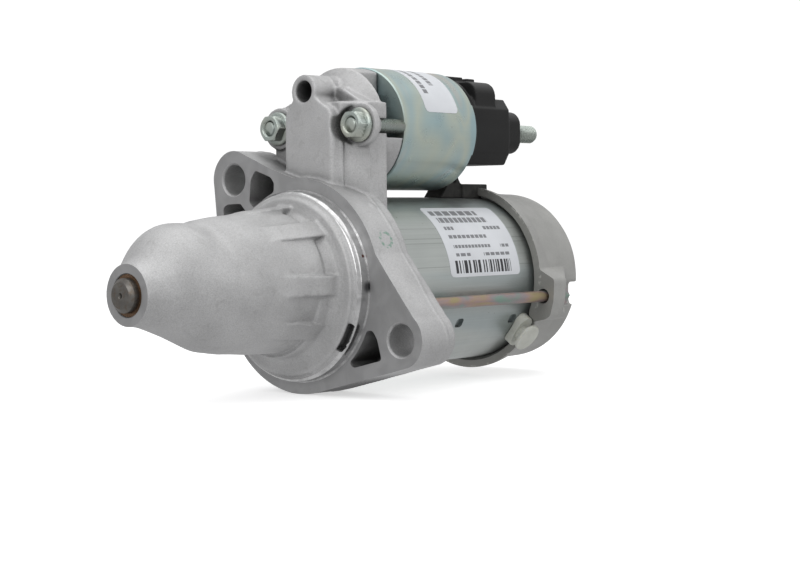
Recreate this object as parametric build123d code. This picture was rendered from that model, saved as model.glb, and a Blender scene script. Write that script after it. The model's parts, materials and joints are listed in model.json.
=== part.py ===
from build123d import *
import os
from math import acos, cos, pi, radians, sin, tan

# A 12 V starter motor with a planetary reduction gear and a solenoid on top, in millimetres.
# X runs along the drive shaft from the nose (-X) to the motor (+X). x = 0 is the flange's front
# face, y = z = 0 is the shaft's axis, and +Z points at the solenoid.

# ---------------------------------------------------------------- driving dimensions
NOSE_TIP = -88.6           # front face of the nose ring
SHAFT_TIP = -91.8
PILOT_R = 38.1             # locating spigot in front of the flange
PILOT_LENGTH = 5.3
FLANGE_T = 20.0
FLANGE_R = 43.3            # round part of the flange
HOLE_R = 6.25              # the two mounting holes
HOLE_1 = (37.0, 43.2)      # (y, z)
HOLE_2 = (-53.8, -19.4)
LOBE_1_R, LOBE_2_R = 12.0, 10.9

YOKE_R, YOKE_INNER = 35.73, 32.73
YOKE_FRONT, YOKE_BACK = FLANGE_T, 112.0
COVER_FRONT, COVER_BACK = 108.0, 143.8
COVER_R = 40.2             # its front rim
BOLT_YZ = (-41.9, -7.4)    # one through bolt; the other is opposite
BOLT_R = 2.4               # M5
BOLT_SEAT = 117.6          # where its head sits on the cover's lug

SOLENOID_Z = 64.1          # height of the solenoid's axis
CASE_R = 25.4
CASE_FRONT, CASE_BACK = 36.7, 83.6
STUD_Y = 22.6              # M6 studs either side of the solenoid's axis
CAP_BACK = 119.0
TERMINAL_YZ = (-6.0, 64.7)
TERMINAL_R = 4.0           # M8 battery stud
TERMINAL_TIP = 148.3
TOWER_BACK = 128.0         # end of the cap's tower around that stud

PIVOT = (16.0, 38.0)       # (x, z) of the lever's pin
PIN_R = 2.5
LEVER_HEAD = (12.0, SOLENOID_Z - 0.1)
PAD = (12.0, -1.5)         # (x, z) where the fork holds the clutch's collar
SLOT_Y = (-12.0, 9.0)      # width of the lever room
WINDOW_Z = 59.5            # sill of the window that shows the solenoid's stud
BARREL_Z = 2.0             # height of the nose barrel's centre
TOP_BOSS = (0.4, 78.0)     # (y, z) of the long round boss over the tower
NUT_SEAT = 12.4            # where the studs' nuts sit
STUD_R = 2.92              # M6
STUD_TAIL_R = 2.2          # its end in the solenoid's case

SHAFT_R = 6.4              # drive shaft in front of its splines
SPLINE_ROOT_R = 6.85
MOTOR_SHAFT_R = 7.5
NOSE_BORE_R = 7.86         # seat of the nose bushing
BEARING_X = (124.0, 132.0)
BALL_PITCH_R, BALL_R = 9.0, 2.35

MODULE = 1.0               # planetary gears
SUN_TEETH, PLANET_TEETH, RING_TEETH = 12, 18, 48
CARRIER_R = (SUN_TEETH + PLANET_TEETH) * MODULE / 2
PLANET_ANGLES = (90, 210, 330)
PLANET_PIN_R = 2.5
PRESSURE = radians(20)
RUNNING = 0.06             # radial gap of a shaft in its bush

SPLINES = 8
SLOTS = 23                 # of the armature, and bars of the commutator
BRUSH_ANGLES = (45, 135, 225, 315)
BRUSH_X = 100.8
SCREW_SEAT = 141.3         # where the cover screws' heads sit
PLUG_X, PLUG_ANGLE = 106.4, 216.6


# ---------------------------------------------------------------- drawing helpers
def section(x, y=0.0, z=0.0):
    """Plane across the shaft at x, drawn in (y, z) from the given point."""
    return Plane((x, y, z), x_dir=(0, 1, 0), z_dir=(1, 0, 0))


def along_x(sketch, x0, x1, y=0.0, z=0.0):
    return extrude(section(x0, y, z) * sketch, amount=x1 - x0, dir=(1, 0, 0))


def rod(x0, x1, radius, y=0.0, z=0.0):
    return along_x(Circle(radius), x0, x1, y, z)


def tube(x0, x1, outer, inner, y=0.0, z=0.0):
    return along_x(Circle(outer) - Circle(inner), x0, x1, y, z)


def block(x0, x1, y0, y1, z0, z1):
    centre = Pos((x0 + x1) / 2, (y0 + y1) / 2, (z0 + z1) / 2)
    return centre * Box(x1 - x0, y1 - y0, z1 - z0)


def slab(points, x0, x1):
    """Flat outline in (y, z), from x0 to x1."""
    return along_x(Polygon(*points, align=None), x0, x1)


def side_slab(points, y0, y1):
    """Flat outline in (x, z), from y0 to y1."""
    plane = Plane((0, y0, 0), x_dir=(1, 0, 0), z_dir=(0, -1, 0))
    return extrude(plane * Polygon(*points, align=None), amount=y1 - y0, dir=(0, 1, 0))


def turned(points, y=0.0, z=0.0):
    """Solid turned about an axis along X, from its (x, radius) outline."""
    return Pos(0, y, z) * revolve(Plane.XZ * Polygon(*points, align=None), Axis.X)


def cross_rod(y0, y1, radius, x, z):
    """Round bar along Y."""
    plane = Plane((x, y0, z), x_dir=(1, 0, 0), z_dir=(0, 1, 0))
    return extrude(plane * Circle(radius), amount=y1 - y0, dir=(0, 1, 0))


def radial_plane(angle, x, radius):
    """Plane that faces away from the shaft at an angle from +Y towards +Z."""
    out = (0, cos(radians(angle)), sin(radians(angle)))
    return Plane((x, radius * out[1], radius * out[2]), x_dir=(1, 0, 0), z_dir=out)


def ring_places(radius, angles):
    """Points (y, z) on a circle about the shaft."""
    return [(radius * cos(radians(a)), radius * sin(radians(a))) for a in angles]


def screw_places():
    return ring_places(26, (0, 180))


def bolt_places():
    y, z = BOLT_YZ
    return [(y, z), (-y, -z)]


def around(shape, count, first=0.0):
    return [Rot(first + 360 * i / count, 0, 0) * shape for i in range(count)]


def coil(x0, x1, radius, wire, turns, y=0.0, z=0.0):
    """Helical spring along X."""
    path = Helix((x1 - x0 - 2 * wire) / turns, x1 - x0 - 2 * wire, radius)
    wound = sweep(Plane(origin=path @ 0, z_dir=path % 0) * Circle(wire), path, is_frenet=True)
    return Pos(x0 + wire, y, z) * Rot(0, 90, 0) * wound


def sector(angle0, angle1, reach):
    """Wedge from the axis, in (y, z)."""
    steps = [angle0 + (angle1 - angle0) * i / 6 for i in range(7)]
    return Polygon((0, 0), *ring_places(reach, steps), align=None)


def hexagon(across_flats):
    return RegularPolygon(across_flats / 2, 6, major_radius=False)


# ---------------------------------------------------------------- gear teeth
def involute(base, radius):
    angle = acos(min(1.0, base / radius))
    return tan(angle) - angle


def teeth_outline(count, module, root, tip, play, centre=0.0, steps=4):
    """Outline of a toothed wheel with one tooth centred at the given angle in degrees."""
    pitch = count * module / 2
    base = pitch * cos(PRESSURE)
    half = pi / (2 * count) - play / (2 * pitch) + involute(base, pitch)
    low = max(root, base)
    radii = [root] * (root < base) + [low + (tip - low) * i / steps for i in range(steps + 1)]
    flank = [(r, half - involute(base, max(r, base))) for r in radii]
    points = []
    for i in range(count):
        middle = radians(centre) + 2 * pi * i / count
        for r, a in flank:
            points.append((r * cos(middle - a), r * sin(middle - a)))
        for r, a in reversed(flank):
            points.append((r * cos(middle + a), r * sin(middle + a)))
    return Polygon(*points, align=None)


def planet_phase(angle):
    """Angle of a planet's tooth that puts it in mesh with a sun tooth at 0 degrees."""
    return angle + 180 - (180 - angle * SUN_TEETH) / PLANET_TEETH


# ---------------------------------------------------------------- drive housing
NOSE_SECTIONS = [  # x, height of the centre, radius
    (NOSE_TIP, 0.0, 11.3), (-84, 1.1, 13.0), (-79, 3.1, 16.4), (-73, 4.5, 19.9),
    (-65, 3.8, 22.3), (-55, 2.0, 24.9)]
RIB_ANGLES = (-40, -1, 46, 92, 134, 181, 220)


def nose_rib():
    """Pad that grows out of the barrel towards the flange, drawn at its top."""
    return side_slab([(-40, 20), (-40, 26.0), (-30, 28.0), (-9, 30.0), (-7, 31), (-7, 20)], -4, 4)


def nose():
    barrel = loft([section(x, 0, z) * Circle(r) for x, z, r in NOSE_SECTIONS])
    barrel += turned([(-55, 0), (-55, 24.9), (-45, 26.3), (-32, 27.3), (-14, 27.9), (-14, 0)],
                     0, BARREL_Z)
    step = turned([(-16, 0), (-16, 27.6), (-11.5, 28.5), (-9.2, 30.2), (-8.2, 32.6), (-7.6, 35.0),
                   (-7.0, 35.6), (-5.6, 35.2), (-5.6, 0)])
    pilot = turned([(-5.8, 0), (-5.8, 36.9), (-PILOT_LENGTH, 37.3), (1 - PILOT_LENGTH, PILOT_R),
                    (1, PILOT_R), (1, 0)])
    body = barrel + step + pilot
    for angle in RIB_ANGLES:
        body += Pos(0, 0, BARREL_Z) * Rot(angle - 90, 0, 0) * nose_rib()
    return body


def flange_outline():
    """Round middle, a lobe about each mounting hole, and straight edges between them."""
    edge = Polygon((-62.2, -13.0), (-31.3, 25.8), (-12.3, 38.6), (15.6, 47.4), (33.2, 54.6),
                   (48.9, 42.0), (47.4, 28.0), (FLANGE_R, 2.0), (20, -30), (-11, -41.9),
                   (-56.6, -29.9), align=None)
    lobes = Pos(*HOLE_1) * Circle(LOBE_1_R) + Pos(*HOLE_2) * Circle(LOBE_2_R)
    bolt_lug = Pos(-BOLT_YZ[0], -BOLT_YZ[1]) * Circle(7.2)
    return edge + Circle(FLANGE_R) + lobes + bolt_lug


def flange_pockets():
    """Weight-saving pockets that open at the front face and stop short of the back."""
    land = Circle(40.1)
    outlines = [
        [(-26, -16.2), (-39.6, -16.2), (-41.8, -19.4), (-44.2, -27.6), (-29.4, -31.2), (-26, -28)],
        [(24.2, 46.9), (15.2, 43.9), (13.4, 41.6), (13.9, 34), (24, 30), (27.8, 34.0), (26.9, 43.0)],
        [(43.4, 31.6), (41.0, 33.1), (33.0, 33.4), (28, 28), (30, 15), (42.0, 15.5)]]
    cuts = []
    for outline in outlines:
        cut = along_x(Polygon(*outline, align=None) - land, -1, FLANGE_T - 3.2)
        cuts.append(fillet(cut.edges().filter_by(Axis.X), 0.9))
    return cuts


def lever_box():
    """Square tower over the flange for the shift lever, with the long round boss on top of it
    and a slim upright bead in the corner of the tower and the neck."""
    front = Polygon((11.9, 30), (11.9, 67), (5.6, 76.0), (-5.4, 76.0), (-9.0, 73.2), (-13.4, 70.6),
                    (-16, 66), (-16, 30), align=None)
    tower = along_x(front, 4, 28)
    corners = [e for e in tower.edges().filter_by(Axis.Z) if e.center().X < 5]
    tower = fillet(corners, 2.6)
    plan = Polygon((8.4, -12), (8.4, -15.6), (16.2, -24.5), (26.6, -24.5), (26.6, 26.4), (14, 26.4),
                   (14, -12), align=None)
    neck = extrude(Plane((0, 0, 20)) * plan, amount=42)
    upper = Polygon((8.4, -8), (8.4, -15.6), (16.2, -24.5), (26.6, -24.5), (26.6, -8), align=None)
    neck += extrude(Plane((0, 0, 60)) * upper, amount=13.6)
    shoulders = slab([(-24, 64), (-24, 72), (-9, 80), (9, 80), (17.7, 75.2), (27, 71), (28, 64)],
                     15.5, 26.6)
    boss = rod(4, CASE_FRONT, 6.8, *TOP_BOSS)
    bead = extrude(Plane((8.4, -16, 34)) * Circle(1.3), amount=27)
    ear = [(NUT_SEAT, 0), (NUT_SEAT, 8.6), (14.5, 8.6), (21, 4), (21, 0)]
    seat = turned([(17, 0), (17, 15), (24.5, 24.6), (CASE_FRONT, 24.9), (CASE_FRONT, 0)],
                  0, SOLENOID_Z)
    for half_width, sill in ((13.6, WINDOW_Z), (10.7, 72)):
        window = block(25.4, CASE_FRONT + 1, half_width, 30, sill, 95)
        seat -= window + mirror(window, about=Plane.XZ)
    body = tower + neck + shoulders + boss + bead + seat
    for y in (-STUD_Y, STUD_Y):
        body += turned(ear, y, SOLENOID_Z)
    return body


def drive_housing():
    body = nose() + along_x(flange_outline(), 0, FLANGE_T) + lever_box()
    # The spigot that centres the yoke, and room for the yoke under the neck.
    body -= rod(FLANGE_T, 60, YOKE_R + 0.5)
    body += tube(FLANGE_T, 23, YOKE_INNER - 0.06, 29)
    # Rooms inside, from the nose bush back to the gears.
    body -= turned([(NOSE_TIP - 1, 0), (NOSE_TIP - 1, NOSE_BORE_R), (-72, NOSE_BORE_R), (-72, 11),
                    (-64.5, 11), (-62.4, 16.4), (-49, 16.9), (-47.5, 21), (-9, 21), (-8, 26.5), (19.5, 26.5),
                    (19.5, 29), (24, 29), (24, 0)])
    body -= block(7.2, FLANGE_T, *SLOT_Y, 14, 70.4)
    body -= block(19.9, 27, *SLOT_Y, 36.3, 70.4)
    body -= block(26.9, CASE_FRONT + 1, *SLOT_Y, 43.2, 70.4)
    body -= rod(28, CASE_FRONT + 1, 17.0, 0, SOLENOID_Z)
    # The window on the far side through which the pinion reaches the flywheel's ring gear.
    body -= fillet(block(-66, -45, 12, 34, -13, 13).edges().filter_by(Axis.Y), 5)
    for cut in flange_pockets():
        body -= cut
    body -= along_x((Circle(37.4) - Circle(34.6)) & sector(202, 222, 60), -6, -1.5)
    hole = [(-1, 0), (-1, HOLE_R + 1.8), (0, HOLE_R + 0.9), (0.9, HOLE_R), (FLANGE_T - 0.6, HOLE_R),
            (FLANGE_T + 1, HOLE_R + 1.6), (FLANGE_T + 1, 0)]
    for y, z in (HOLE_1, HOLE_2):
        body -= turned(hole, y, z)
    for y, z in bolt_places():
        body -= rod(7, FLANGE_T + 1, BOLT_R + 0.05, y, z)
    for y in (-STUD_Y, STUD_Y):
        body -= rod(3, NUT_SEAT, 8.5, y, SOLENOID_Z) + rod(NUT_SEAT - 1, 30, 3.2, y, SOLENOID_Z)
    # Blind hole in the top boss.
    body -= turned([(3, 0), (3, 5.2), (4, 4.7), (4.6, 4.2), (17, 4.2), (18.5, 0)], *TOP_BOSS)
    return body


# ---------------------------------------------------------------- shift lever and its bearing
def shift_lever():
    px, pz = PIVOT
    hx, hz = LEVER_HEAD
    ax, az = PAD
    side = side_slab([(hx - 1.5, hz), (px - 1.9, pz), (ax - 1.4, 18), (ax - 2, az - 3), (ax + 2, az - 3),
                      (ax + 2.6, 18), (px + 1.9, pz), (hx + 1.5, hz)], -20, 20)
    fork = Polygon((-19.7, -6), (-19.7, 14), (-13, 20), (-4.6, 26), (-4.6, 66), (4.6, 66), (4.6, 26),
                   (13, 20), (19.7, 14), (19.7, -6), align=None)
    fork -= Circle(16.3) + Pos(0, -10) * Rectangle(32.6, 20)
    body = side & along_x(fork, 0, 30)
    body += cross_rod(-5, 5, 4.2, px, pz) + cross_rod(-4.6, 4.6, 2.6, hx, hz)
    for side_y in ((-19.7, -11.8), (11.8, 19.7)):
        body += cross_rod(*side_y, 3.0, ax, az)
    return body - cross_rod(-6, 6, PIN_R + RUNNING, px, pz)


def lever_pin():
    return cross_rod(-8.8, 8.8, PIN_R, *PIVOT)


def lever_holder():
    """Plastic block behind the lever whose two cheeks carry the pin."""
    px, pz = PIVOT
    low, high = SLOT_Y[0] + 0.2, SLOT_Y[1] - 0.2
    body = block(21.6, 32, low, high, 43.5, 52)
    for y0, y1 in ((-8.6, -5.3), (5.3, 8.6)):
        body += side_slab([(px - 4.4, pz - 4), (19.6, pz - 4), (19.6, 43.5), (24, 46), (24, 52),
                           (21.6, 52), (px - 4.4, pz + 5)], y0, y1)
    return body - cross_rod(-9, 9, PIN_R, *PIVOT)


def lever_packing():
    return block(20.8, 26.4, SLOT_Y[0] + 0.1, SLOT_Y[1] - 0.1, 36.4, 43.4)


# ---------------------------------------------------------------- drive shaft, clutch and pinion
def spline(root, top, width):
    shape = Circle(root)
    for i in range(SPLINES):
        shape += Rot(0, 0, 360 * i / SPLINES) * Pos(top / 2, 0) * Rectangle(top, width)
    return shape & Circle(top)


def drive_shaft():
    """Splined shaft with a centre hole in its tip and the planet carrier at its back end."""
    body = turned([(SHAFT_TIP, 0), (SHAFT_TIP, 4.9), (SHAFT_TIP + 1.4, SHAFT_R), (-65.3, SHAFT_R),
                   (-65.3, 5.7), (-63.9, 5.7), (-63.9, SHAFT_R), (-14, SHAFT_R), (-14, SPLINE_ROOT_R),
                   (17.4, SPLINE_ROOT_R), (17.9, 8.5), (25, 8.5), (25, 21), (29.5, 21), (29.5, 0)])
    body += along_x(spline(SPLINE_ROOT_R, 8.0, 2.6), -13.9, 14)
    body -= rod(21, 30, 5.2)
    body -= turned([(SHAFT_TIP - 1, 0), (SHAFT_TIP - 1, 1.7), (SHAFT_TIP + 1, 0.5), (SHAFT_TIP + 2.2, 0.5),
                    (SHAFT_TIP + 2.5, 0)])
    for y, z in ring_places(CARRIER_R, PLANET_ANGLES):
        body -= rod(24, 30, PLANET_PIN_R, y, z)
    return body


def planet_pins():
    return [rod(25, 40.6, PLANET_PIN_R, y, z) for y, z in ring_places(CARRIER_R, PLANET_ANGLES)]


def planet_gear(angle):
    outline = teeth_outline(PLANET_TEETH, MODULE, 7.8, 9.8, 0.16, planet_phase(angle))
    y, z = ring_places(CARRIER_R, [angle])[0]
    return along_x(outline, 30.5, 40, y, z) - rod(30, 41, PLANET_PIN_R + RUNNING, y, z)


def internal_gear():
    spaces = teeth_outline(RING_TEETH, MODULE, 23.25, 25.3, -0.16, 180 / RING_TEETH)
    body = tube(23, 41, YOKE_INNER - 0.08, 26)
    body += along_x(Circle(27) - spaces, 30, 41)
    return body


def stop_collar():
    body = turned([(-66.8, 6.45), (-66.8, 8.4), (-66, 9.2), (-62.4, 9.2), (-62.4, 6.45)])
    return body - rod(-65.4, -63.8, 7.3)


def stop_ring():
    ring = tube(-65.2, -64.0, 7.1, 5.75)
    return ring - block(-66, -63, -1.2, 1.2, 0, 8)


def pinion():
    """Ten-tooth pinion with the clutch's inner race behind it."""
    teeth = teeth_outline(10, 2.54, 9.7, 15.4, 0.3, 18)
    chamfer = turned([(-50, 0), (-50, 13.2), (-47.6, 15.6), (-35, 15.6), (-35, 0)])
    body = (along_x(teeth, -50, -35) & chamfer) + rod(-35.1, -15, 11.5)
    return body - rod(-51, -14, SHAFT_R + RUNNING)


def roller_pockets(radius, tail):
    """Six wedge pockets, each with a roller's seat and a tail for its spring."""
    pocket = Pos(14.55, 0) * Circle(radius) + Pos(14.4, tail / 2) * Rectangle(4.2, tail)
    shape = Circle(11.6)
    for i in range(6):
        shape += Rot(0, 0, 60 * i) * pocket
    return shape


def clutch_outer():
    cup = rod(-34, -10, 19.5) - along_x(roller_pockets(3.06, 8.4), -35, -14)
    sleeve = turned([(-11, 0), (-11, 11), (6.9, 11), (6.9, 15), (8.75, 15), (8.75, 11.3), (15.25, 11.3),
                     (15.25, 15), (17, 15), (17, 0)])
    body = cup + sleeve - rod(-15, -1, 8.15) - rod(12.9, 18, 8.15)
    return body - along_x(spline(SPLINE_ROOT_R + 0.07, 8.07, 2.72), -1.1, 13)


def clutch_cover():
    return tube(-34.7, -34.05, 20.15, 11.7) + tube(-34.7, -12, 20.15, 19.55)


def clutch_rollers():
    return around(rod(-31.5, -16.5, 3.0, 14.55, 0), 6)


def clutch_springs():
    spring = Pos(-24, 14.4, 3.25) * Rot(0, -90, 0) * coil(0, 5.0, 1.35, 0.3, 5)
    return around(spring, 6)


def centre_bracket():
    body = rod(19.6, 23, 28.94) + rod(18.2, 24.8, 13.5)
    return body - rod(17, 26, 10.5)


def centre_bush():
    return tube(18.4, 24.6, 10.5, 8.5 + RUNNING)


def gear_cover_plate():
    return tube(41.2, 42.5, YOKE_INNER - 0.1, 8.4)


def pilot_bush():
    return tube(22.8, 29.4, 5.2, 4 + RUNNING)


def nose_bushing():
    return tube(NOSE_TIP + 0.5, -72.3, NOSE_BORE_R, SHAFT_R + RUNNING)


# ---------------------------------------------------------------- motor
def armature_shaft():
    """Shaft with the sun gear cut at its front end and the bearing's seat at its back end."""
    body = turned([(22.6, 0), (22.6, 3.6), (23, 4), (30, 4), (30, 4.6), (41, 4.6), (41, 5.6),
                   (42.8, MOTOR_SHAFT_R), (122, MOTOR_SHAFT_R), (122, 5), (132, 5), (132.4, 4.6),
                   (132.4, 0)])
    return body + along_x(teeth_outline(SUN_TEETH, MODULE, 4.7, 6.95, 0.16), 30.2, 40.8)


def armature_core():
    slot = Pos(21, 0) * Rectangle(8.4, 2.6) + Pos(25.5, 0) * Rectangle(4, 1.2)
    shape = Circle(26.4) - Circle(MOTOR_SHAFT_R)
    for i in range(SLOTS):
        shape -= Rot(0, 0, 360 * i / SLOTS) * slot
    return along_x(shape, 52, 86)


def armature_winding():
    """Copper bars in the slots, joined by a bulging ring of end turns at each end."""
    bars = Pos(21, 0) * Rectangle(8.0, 2.3)
    shape = bars
    for i in range(1, SLOTS):
        shape += Rot(0, 0, 360 * i / SLOTS) * bars
    front = turned([(45.6, 12), (44.8, 14), (44.8, 22), (46.4, 24.4), (52, 24.9), (52, 12)])
    back = turned([(86, 12), (86, 24.9), (91, 24), (92.6, 21), (92.9, 14), (92.4, 12)])
    return front + back + along_x(shape, 51.5, 86.5)


def commutator_hub():
    return tube(93.2, 107.6, 10, MOTOR_SHAFT_R)


def commutator_bars():
    width = 2 * pi * 10 / SLOTS - 0.7
    bar = (Circle(14) - Circle(10)) & (Pos(12, 0) * Rectangle(6, width))
    return around(along_x(bar, 93.5, 107), SLOTS)


def yoke_tube():
    body = tube(YOKE_FRONT, YOKE_BACK, YOKE_R, YOKE_INNER)
    body -= block(102.4, YOKE_BACK + 1, -4.5, 4.5, 30, 40)
    body -= extrude(radial_plane(PLUG_ANGLE, PLUG_X, 30) * Circle(2.7), amount=8)
    for x in (62.9, 99.2):
        dent = radial_plane(208.5, x, YOKE_R - 1.6)
        body -= extrude(dent * Pos(0.4, 0) * RectangleRounded(4.6, 4.2, 1.4), amount=3)
    return body


def field_magnets():
    arc = along_x((Circle(32.65) - Circle(27.1)) & sector(-26, 26, 60), 48, 92)
    return around(arc, 6, 30)


def brush_holder():
    body = tube(107.5, 109.5, 32.6, 15.6)
    for angle in BRUSH_ANGLES:
        outer = radial_plane(angle, 101.2, 16)
        body += extrude(outer * Rectangle(12.8, 11.4), amount=15.7)
    body -= tube(90, 120, 60, 32.6)
    for angle in BRUSH_ANGLES:
        body -= extrude(radial_plane(angle, BRUSH_X, 15) * Rectangle(9.2, 9.2), amount=16)
    for y, z in screw_places():
        body -= rod(107, 110, 2.05, y, z)
    return body


def brushes():
    return [extrude(radial_plane(a, BRUSH_X, 14.08) * Rectangle(9, 9), amount=9.9)
            for a in BRUSH_ANGLES]


def brush_springs():
    spring = Rot(0, -90, 0) * coil(24.1, 30.9, 3.0, 0.35, 5)
    return [Pos(BRUSH_X, 0, 0) * Rot(a - 90, 0, 0) * spring for a in BRUSH_ANGLES]


def rear_cover():
    """Cast pot that closes the motor: bearing seat inside, two bolt lugs, plug and lead slots."""
    shell = turned([(COVER_FRONT, 0), (COVER_FRONT, COVER_R), (111, COVER_R - 0.3), (116.5, 38.5),
                    (122, 37.9), (129, 37.3), (COVER_BACK, 37.1), (COVER_BACK, 0)])
    back_edge = shell.edges().filter_by(GeomType.CIRCLE).sort_by(Axis.X)[-1]
    shell = fillet(back_edge, 6)
    for turn in (0, 180):
        shell += Rot(turn, 0, 0) * cover_ear()
    shell -= rod(COVER_FRONT - 1, YOKE_BACK, YOKE_R + 0.05)
    # The mouth opens out, so that the yoke finds its seat.
    shell -= turned([(COVER_FRONT - 1, 0), (COVER_FRONT - 1, 38.7), (COVER_FRONT, 38.4),
                     (COVER_FRONT + 2.6, YOKE_R), (COVER_FRONT + 2.6, 0)])
    shell -= turned([(YOKE_BACK - 0.1, 0), (YOKE_BACK - 0.1, 33.4), (136, 33.4), (139, 30), (139, 0)])
    shell += tube(122.6, 140, 17, 13)
    shell += tube(132.05, 139.2, 14, 11)
    for y, z in bolt_places():
        shell -= rod(COVER_FRONT - 1, BOLT_SEAT + 1, BOLT_R + 1.2, y, z)
        shell -= rod(BOLT_SEAT, COVER_BACK + 1, 7.6, y, z)
    # The channel of each bolt's head bites into the back corner, with a wall round it inside.
    wall = fillet(block(128, COVER_BACK - 2, -36, -28.6, -14.2, -0.6).edges().filter_by(Axis.X), 2)
    channel = fillet(block(130.5, COVER_BACK + 4, -50, -30.4, -12.4, -2.4).edges().filter_by(Axis.X), 2)
    for turn in (0, 180):
        shell += Rot(turn, 0, 0) * (wall & rod(120, COVER_BACK - 2, 35))
        shell -= Rot(turn, 0, 0) * channel
    for y, z in screw_places():
        shell -= rod(130, COVER_BACK + 1, 2.2, y, z) + rod(SCREW_SEAT, COVER_BACK + 1, 4.2, y, z)
    plug_slot = SlotCenterToCenter(7.4, 9.4, rotation=90)
    shell -= extrude(radial_plane(PLUG_ANGLE, PLUG_X, 33.6) * plug_slot, amount=12)
    shell -= block(COVER_FRONT - 1, 115.2, -6.3, 6.3, 33, 50)
    return shell


def cover_ear():
    """Lug for a through bolt, thinned towards the back."""
    outline = Polygon((-30, 5), (-39.6, 4.0), (-43.6, 1.9), (-47.6, -0.2), (-47.2, -9), (-45.3, -15.6),
                      (-43, -17.1), (-35, -18.6), (-30, -18.6), align=None)
    outline = fillet(outline.vertices().sort_by(Axis.X)[0:3], 1.6)
    plan = Polygon((COVER_FRONT, -28), (COVER_FRONT, -50), (117.6, -50), (117.6, -47), (131, -37),
                   (131, -28), align=None)
    return along_x(outline, COVER_FRONT, 131) & extrude(Plane.XY * plan, amount=30, both=True)


def through_bolts():
    bolts = []
    for y, z in bolt_places():
        washer = rod(BOLT_SEAT, BOLT_SEAT + 1, 5, y, z)
        head = along_x(hexagon(8), BOLT_SEAT + 1, BOLT_SEAT + 4, y, z)
        bolts.append(rod(8, BOLT_SEAT, BOLT_R, y, z) + washer + head)
    return bolts


def cover_screws():
    """Two cross-recessed screws that hold the brush holder to the cover."""
    screws = []
    head = turned([(0, 0), (0, 3.7), (1.4, 3.5), (2.2, 2.4), (2.3, 0)])
    head -= block(1, 3, -2, 2, -0.4, 0.4) + block(1, 3, -0.4, 0.4, -2, 2)
    for y, z in screw_places():
        screws.append(rod(107.5, SCREW_SEAT, 2.0, y, z) + Pos(SCREW_SEAT, y, z) * head)
    return screws


def race(outer, inner):
    """Ring of the ball bearing in the cover, with its half of the balls' groove."""
    groove = Pos(sum(BEARING_X) / 2, 0, 0) * Rot(0, 90, 0) * Torus(BALL_PITCH_R, BALL_R + 0.06)
    return tube(*BEARING_X, outer, inner) - groove


def rear_bearing_balls():
    return around(Pos(sum(BEARING_X) / 2, BALL_PITCH_R, 0) * Sphere(BALL_R), 8)


def drain_plug():
    """White plug on the seam of yoke and cover: an oval saddle, a short neck and a round head,
    with a spigot through the yoke."""
    def step(shape, r0, r1):
        return extrude(radial_plane(PLUG_ANGLE, PLUG_X, r0) * shape, amount=r1 - r0)
    body = step(SlotCenterToCenter(6.6, 8.6, rotation=90), 33.4, 39.0) + step(Circle(3.4), 38.8, 42.2)
    head = step(Circle(6.4), 42, 43.6)
    body += fillet(head.edges().filter_by(GeomType.CIRCLE), 0.5)
    body -= tube(90, 120, YOKE_R, 20)
    return body + (step(Circle(2.6), 33.2, 36.4) - tube(90, 120, 30, 20))


def yoke_label():
    return along_x((Circle(YOKE_R + 0.15) - Circle(YOKE_R)) & sector(120.1, 176.2, 60), 53, 100)


# ---------------------------------------------------------------- solenoid
def solenoid_case():
    body = turned([(CASE_FRONT, 0), (CASE_FRONT, CASE_R - 0.5), (CASE_FRONT + 0.5, CASE_R),
                   (CASE_BACK - 0.5, CASE_R), (CASE_BACK, CASE_R - 0.5), (CASE_BACK, 0)], 0, SOLENOID_Z)
    body -= rod(CASE_FRONT + 2.5, CASE_BACK - 1, 23.4, 0, SOLENOID_Z)
    body -= rod(CASE_FRONT - 1, CASE_BACK + 1, 10.15, 0, SOLENOID_Z)
    body -= rod(CASE_BACK - 2, CASE_BACK + 1, 22.6, 0, SOLENOID_Z)
    # The rim is cut back above and below the crimped part.
    notch = along_x(Circle(30) - Circle(22.5), CASE_BACK - 1.1, CASE_BACK + 1, 0, SOLENOID_Z)
    for z in (SOLENOID_Z + 22, SOLENOID_Z - 22):
        body -= notch & block(80, 90, -30, 30, z - 11.4, z + 11.4)
    for y in (-STUD_Y, STUD_Y):
        body -= rod(CASE_FRONT - 1, CASE_FRONT + 3, STUD_TAIL_R, y, SOLENOID_Z)
    return body


def solenoid_studs():
    back = CASE_FRONT + 2.3
    tip = NUT_SEAT - 5.9
    stud = [(tip + 0.5, 0), (tip, 0.8), (tip, 2.2), (tip + 0.7, STUD_R), (CASE_FRONT, STUD_R),
            (CASE_FRONT, STUD_TAIL_R), (back, STUD_TAIL_R), (back, 0)]
    return [turned(stud, y, SOLENOID_Z) for y in (-STUD_Y, STUD_Y)]


def solenoid_nuts():
    """Flange nuts on the studs, countersunk in front."""
    nuts = []
    front = NUT_SEAT - 6
    for y in (-STUD_Y, STUD_Y):
        flats = along_x(hexagon(10), front, NUT_SEAT - 1, y, SOLENOID_Z)
        flats &= turned([(front, 0), (front, 4.9), (front + 1, 6), (NUT_SEAT, 6), (NUT_SEAT, 0)],
                        y, SOLENOID_Z)
        skirt = turned([(NUT_SEAT - 2.4, 0), (NUT_SEAT - 1.6, 6.2), (NUT_SEAT - 1, 6.9), (NUT_SEAT, 6.9),
                        (NUT_SEAT, 0)], y, SOLENOID_Z)
        hole = turned([(front - 1, 0), (front - 1, 3.7), (front, 3.7), (front + 0.8, STUD_R + 0.05),
                       (NUT_SEAT + 1, STUD_R + 0.05), (NUT_SEAT + 1, 0)], y, SOLENOID_Z)
        nuts.append(flats + skirt - hole)
    return nuts


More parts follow.
